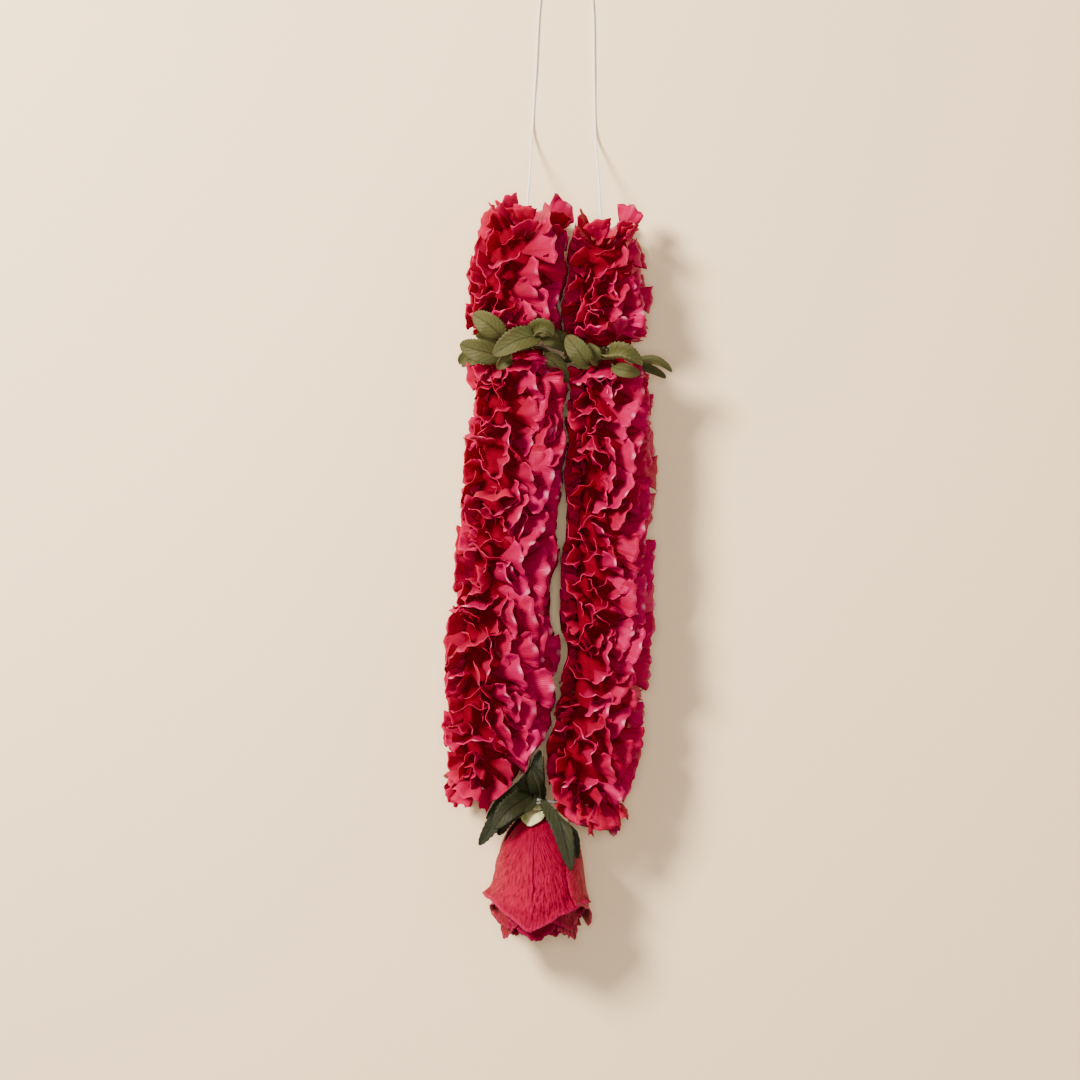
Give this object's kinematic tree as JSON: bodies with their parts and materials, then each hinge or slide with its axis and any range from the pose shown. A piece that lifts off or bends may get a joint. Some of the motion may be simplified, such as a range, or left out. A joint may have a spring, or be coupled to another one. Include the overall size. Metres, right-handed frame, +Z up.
{
  "type": "rose petal garland",
  "caption": "Hanging garland of folded red rose petals: two strands on a thread with green leaf collars, joined at a knot with leaves and an upside-down rose, and a neck cord.",
  "frame": {"origin": "bottom centre of the garland without its neck cord, on the surface that it lies on", "axes": "+Y along the strands towards the neck cord, +X to the right as the garland is looked at, +Z up from the surface towards the viewer"},
  "size_m": [0.126, 0.5486, 0.057],
  "materials": {
    "rose_petal": "velvety inside, satin back",
    "rose_bloom": "satin with wrinkled veins",
    "rose_leaf": "matte leaf green",
    "rose_calyx": "pale matte green",
    "cotton_thread": "matt white cotton"
  },
  "bodies": {
    "root": {"petals_left_upper": "rose_petal", "petals_left_lower": "rose_petal", "petals_right_upper": "rose_petal", "petals_right_lower": "rose_petal", "leaf_collar_left": "rose_leaf", "leaf_collar_right": "rose_leaf", "thread_left": "cotton_thread", "thread_right": "cotton_thread", "tie_knot": "cotton_thread", "pendant_leaves": "rose_leaf", "rose_calyx": "rose_calyx", "rose_bloom": "rose_bloom", "neck_cord": "cotton_thread"}
  },
  "joints": []
}
